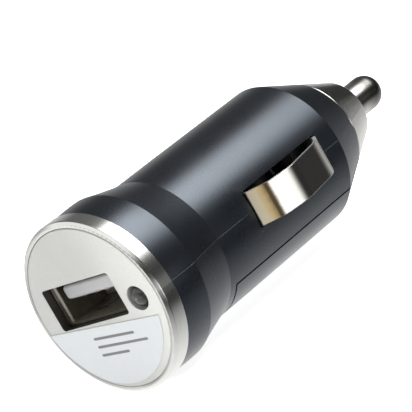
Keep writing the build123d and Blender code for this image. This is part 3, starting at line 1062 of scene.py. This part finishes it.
@dataclass
class Face:
    """The plated ring, the silver plate and the sticker with a few plain printed bars."""

    tilt: float = math.radians(-3.0)
    bar_depth: float = 0.012 * MM
    bar_left: float = -3.6 * MM
    bar_drop: float = 2.1 * MM
    bar_pitch: float = 1.15 * MM
    bar_height: float = 0.36 * MM
    corner_share: float = 0.3
    corner_segments: int = 3
    bar_lengths: tuple[float, ...] = (7.6 * MM, 9.4 * MM, 5.2 * MM)

    def build(self) -> None:
        """Prints the bars on the sticker."""
        low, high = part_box("rating_label")
        turn = Matrix.Rotation(-self.tilt, 4, "Y")
        top = Vector((0.0, low.y, high.z))
        shape = bmesh.new()
        for row, length in enumerate(self.bar_lengths):
            centre = Vector((self.bar_left + length / 2, 0.0, -self.bar_drop - row * self.bar_pitch))
            size = Matrix.Diagonal((length, self.bar_depth, self.bar_height, 1.0))
            place = Matrix.Translation(top) @ turn @ Matrix.Translation(centre)
            made = bmesh.ops.create_cube(shape, size=1.0, matrix=place @ size)
            edges = dict.fromkeys(edge for vert in made["verts"] for edge in vert.link_edges)
            spans = {edge: edge.verts[0].co - edge.verts[1].co for edge in edges}
            corners = [edge for edge, span in spans.items() if abs(span.y) > self.bar_depth / 2]
            bmesh.ops.bevel(
                shape,
                geom=corners,
                offset=self.bar_height * self.corner_share,
                segments=self.corner_segments,
                affect="EDGES",
            )
        mesh = bpy.data.meshes.new("label_print")
        shape.to_mesh(mesh)
        shape.free()
        new_piece("label_print", mesh, LABEL_GREY)

    def dress(self) -> None:
        """Gives the ring, plate and sticker their finishes."""
        dress_node("bezel_ring", RING_PLATE)
        dress_node("face_plate", FACE_SILVER)
        dress_node("rating_label", LABEL_WHITE)


@dataclass
class Tip:
    """The metal nose, the centre pin and what stands behind them."""

    pin_travel: float = 2.4 * MM

    def build(self) -> None:
        """Puts a copy of the coil spring, riding on the housing, in its place."""
        flexing_piece("pin_spring", SPRING_WIRE)

    def dress(self) -> None:
        """Gives the tip's pieces their metals."""
        dress_node("nose_cone", NOSE_NICKEL)
        dress_node("centre_pin", PIN_NICKEL)
        dress_node("tip_terminal", TERMINAL_BRASS)


@dataclass
class SideContacts:
    """The two bowed leaf contacts and their leads."""

    leaf_travel: float = 4.19 * MM

    def build(self) -> None:
        """Puts a copy of each side's lead, riding on the housing, in its place."""
        for side in Side:
            node = f"ground_lead_{side.value}"
            flexing_piece(node, SLEEVE_BLACK)

    def dress(self) -> None:
        """Gives each leaf its plating."""
        for side in Side:
            dress_node(f"side_contact_{side.value}", LEAF_NICKEL)


@dataclass
class Port:
    """The USB receptacle."""

    def dress(self) -> None:
        """Gives the shell, tongue and contacts their finishes."""
        dress_node("usb_shell", PORT_STEEL)
        dress_node("usb_tongue", TONGUE_WHITE)
        dress_node("usb_contacts", CONTACT_GILT)


@dataclass
class Electronics:
    """The lamp, the board and its components."""

    finishes: tuple[tuple[str, Finish], ...] = (
        ("led_lamp", LAMP_SMOKE),
        ("led_leads", LEAD_TIN),
        ("circuit_board", BOARD_GREEN),
        ("output_capacitor", CAN_SLEEVED),
        ("input_capacitor", CAN_SLEEVED),
        ("inductor_core", CORE_FERRITE),
        ("inductor_winding", WINDING_COPPER),
        ("controller_chip", CHIP_RESIN),
        ("chip_leads", LEAD_TIN),
        ("rectifier_diode", CHIP_RESIN),
        ("chip_resistors", CHIP_RESIN),
        ("chip_capacitors", CHIP_CERAMIC),
    )

    def dress(self) -> None:
        """Gives each component its finish."""
        for node, finish in self.finishes:
            dress_node(node, finish)


@dataclass(frozen=True)
class Softbox:
    """A rectangular light with faded edges that looks at the object, its height laid along the plug."""

    name: str
    direction: Way
    width: float
    height: float
    power: float
    distance: float = 0.3
    fade_start: float = 0.2

    def _fade(self, light: bpy.types.Light) -> None:
        """Dims the light from its middle to its edges.

        Args:
            light: The light.
        """
        light.use_nodes = True
        graph = Graph(light.node_tree)
        spot = graph.node("ShaderNodeNewGeometry", output="Parametric")
        glow: Any = 1.0
        for name in ("X", "Y"):
            reach = abs(graph.axis(spot, name) * 2 - 1)
            glow = glow * (1 - reach.step(self.fade_start, 1.0))
        emission = graph.node("ShaderNodeEmission", inputs={"Strength": glow})
        graph.node("ShaderNodeOutputLight", inputs={"Surface": emission})

    def build(self, target: Vector) -> None:
        """Hangs the light.

        Args:
            target: The point that it looks at.
        """
        light = bpy.data.lights.new(self.name, "AREA")
        light.shape = "RECTANGLE"
        light.size = self.width
        light.size_y = self.height
        light.energy = self.power
        self._fade(light)
        lamp = bpy.data.objects.new(self.name, light)
        away = Vector(self.direction).normalized()
        across = Vector(PLUG_AXIS).cross(away).normalized()
        turn = Matrix((across, away.cross(across), away)).transposed().to_4x4()
        lamp.matrix_world = Matrix.Translation(target + away * self.distance) @ turn
        lamp.visible_camera = False
        bpy.context.scene.collection.objects.link(lamp)


@dataclass(frozen=True)
class Card:
    """A bright card in the room that only reflections and light see, placed by direction."""

    azimuth: float
    rise: float
    half_width: float
    half_height: float
    power: float
    colour: Colour = WHITE
    side_fade: float = 0.03
    edge_fade: float = 0.03
    front_fade: float = 0.1

    def shade(self, graph: Graph, way: Signal) -> Signal:
        """Light of the card.

        Args:
            graph: The world's graph.
            way: The direction that is looked in.

        Returns:
            A background shader.
        """
        aim = Matrix.Rotation(math.radians(self.azimuth), 3, "Z")
        aim = aim @ Matrix.Rotation(-math.radians(self.rise), 3, "Y")
        ahead, across, upward = aim.col
        mask = graph.lean(way, ahead).step(0.0, self.front_fade)
        for axis, half, fade in (
            (across, self.half_width, self.side_fade),
            (upward, self.half_height, self.edge_fade),
        ):
            edge = math.sin(math.radians(half))
            mask = mask * (1 - abs(graph.lean(way, axis)).step(edge - fade, edge + fade))
        inputs = {"Color": self.colour, "Strength": mask * self.power}
        return graph.node("ShaderNodeBackground", inputs=inputs)


@dataclass
class Studio:
    """Floor, light and camera. Directions are in the part's frame."""

    floor_drop: float = 0.1 * MM
    floor_size: float = 8.0
    floor_colour: Colour = (0.9, 0.9, 0.9)
    floor_roughness: float = 0.9
    floor_glow: float = 0.88
    table_normal: Way = (0.61, 0.0, 0.795)
    table_glow: float = 1.4
    ceiling_glow: float = 0.12
    ceiling_rise: Span = (0.2, 0.6)
    backdrop_rise: Span = (0.0, 0.07)
    backdrop_depth: Span = (0.78, 0.88)
    gloom: float = 0.035
    table_fade: float = 0.75
    sheet_colour: Colour = (0.97, 0.97, 0.97)
    camera_place: Point = (280.64 * MM, -232.18 * MM, 71.79 * MM)
    camera_look: Way = (-0.7439, 0.6419, -0.1862)
    camera_up: Way = (0.2011, 0.4807, 0.8535)
    focal_pixels: float = 3000.0
    frame_pixels: float = 412.0
    sensor_width: float = 36.0
    clip_start: float = 0.01
    boxes: tuple[Softbox, ...] = (
        Softbox("overhead_softbox", (0.475, 0.35, 0.81), width=0.34, height=0.48, power=4.3),
    )
    cards: tuple[Card, ...] = (
        Card(
            azimuth=-10.0,
            rise=-11.0,
            half_width=38.0,
            half_height=6.0,
            power=1.9,
            side_fade=0.2,
            edge_fade=0.08,
        ),
        Card(
            azimuth=-79.0,
            rise=-11.0,
            half_width=9.0,
            half_height=8.0,
            power=1.3,
            colour=(1.0, 0.95, 0.84),
            side_fade=0.05,
            edge_fade=0.08,
        ),
        Card(azimuth=-115.0, rise=10.0, half_width=28.0, half_height=24.0, power=0.62),
        Card(
            azimuth=-105.0,
            rise=48.0,
            half_width=50.0,
            half_height=12.0,
            power=1.3,
            side_fade=0.1,
        ),
    )

    def build(self) -> None:
        """Sets the whole studio up."""
        low, high = CAD_BOX
        self._floor(low.z - self.floor_drop)
        self._surround()
        for box in self.boxes:
            box.build((low + high) / 2)
        self._camera()
        bpy.context.scene.view_settings.view_transform = "Standard"

    def _floor(self, height: float) -> None:
        """Lays the pale floor.

        Args:
            height: Where its top is.
        """
        shape = bmesh.new()
        bmesh.ops.create_grid(shape, x_segments=1, y_segments=1, size=self.floor_size / 2)
        mesh = bpy.data.meshes.new("pale_floor")
        shape.to_mesh(mesh)
        shape.free()
        floor = bpy.data.objects.new("pale_floor", mesh)
        floor.location.z = height
        floor.visible_glossy = False
        bpy.context.scene.collection.objects.link(floor)
        material, graph = surface_of("pale_floor")
        sockets = {
            "Base Color": self.floor_colour,
            "Roughness": self.floor_roughness,
            "Emission Color": WHITE,
            "Emission Strength": self.floor_glow,
        }
        close_surface(graph, sockets)
        mesh.materials.append(material)

    def _surround(self) -> None:
        """Paints the room that the part mirrors, and the pale sheet that hangs behind it."""
        world = bpy.data.worlds.new("studio_room")
        world.use_nodes = True
        bpy.context.scene.world = world
        graph = Graph(world.node_tree)
        way = graph.node("ShaderNodeTexCoord", output="Generated")
        rise = graph.lean(way, self.table_normal)
        height = graph.axis(way, "Z")
        backdrop = height.step(*self.backdrop_rise) * graph.axis(way, "Y").step(*self.backdrop_depth)
        table = (0 - rise).at_least(0.0) ** self.table_fade * (1 - backdrop)
        ceiling = height.step(*self.ceiling_rise)
        light = self.gloom + table * self.table_glow + ceiling * self.ceiling_glow
        shade = graph.node("ShaderNodeBackground", inputs={"Color": WHITE, "Strength": light})
        for card in self.cards:
            shade = graph.node("ShaderNodeAddShader", inputs={0: shade, 1: card.shade(graph, way)})
        seen = graph.node("ShaderNodeLightPath", output="Is Camera Ray")
        sheet = graph.node("ShaderNodeBackground", inputs={"Color": self.sheet_colour})
        room = graph.node("ShaderNodeMixShader", inputs={0: seen, 1: shade, 2: sheet})
        graph.node("ShaderNodeOutputWorld", inputs={"Surface": room})

    def _camera(self) -> None:
        """Stands the camera where the photograph was taken from."""
        data = bpy.data.cameras.new("photo_camera")
        data.sensor_width = self.sensor_width
        data.lens = self.sensor_width * self.focal_pixels / self.frame_pixels
        data.clip_start = self.clip_start
        camera = bpy.data.objects.new("photo_camera", data)
        back = -Vector(self.camera_look).normalized()
        right = Vector(self.camera_up).cross(back).normalized()
        up = back.cross(right)
        turn = Matrix((right, up, back)).transposed().to_4x4()
        camera.matrix_world = Matrix.Translation(self.camera_place) @ turn
        bpy.context.scene.collection.objects.link(camera)
        bpy.context.scene.camera = camera


def main() -> None:
    """Builds and dresses each sub-assembly, then the studio."""
    logging.basicConfig(level=logging.INFO, format="%(name)s: %(message)s")
    face, tip, contacts = Face(), Tip(), SideContacts()
    for assembly in (face, tip, contacts):
        assembly.build()
    for assembly in (Housing(), face, tip, contacts, Port(), Electronics()):
        assembly.dress()
    Studio().build()


if __name__ == "__main__":
    main()
